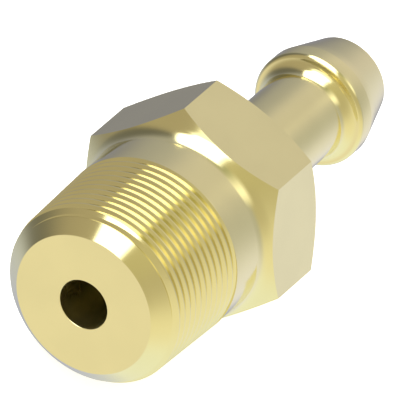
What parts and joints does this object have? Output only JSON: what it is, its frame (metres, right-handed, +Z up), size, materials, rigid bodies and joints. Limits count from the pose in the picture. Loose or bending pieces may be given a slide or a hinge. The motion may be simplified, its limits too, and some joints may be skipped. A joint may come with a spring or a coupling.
{
  "type": "hose insert",
  "caption": "Turned brass hose insert: tapered pipe thread with a nose chamfer, plain neck, hexagonal collar, hose stem and barbed tip, bored straight through.",
  "frame": {"origin": "centre of the flat end face at the threaded end, on the axis of the bore", "axes": "+X along the bore axis from the threaded end to the barbed tip; +Z up, square to the hexagon flat that the part lies on; +Y through two opposite corners of the hexagon"},
  "size_m": [0.0459, 0.022, 0.019],
  "materials": {
    "brass": "satin turned brass, with glossier yellow brass in the thread, on the nose chamfer and in the hollow corners"
  },
  "bodies": {
    "root": {"hose_insert": "brass"}
  },
  "joints": []
}
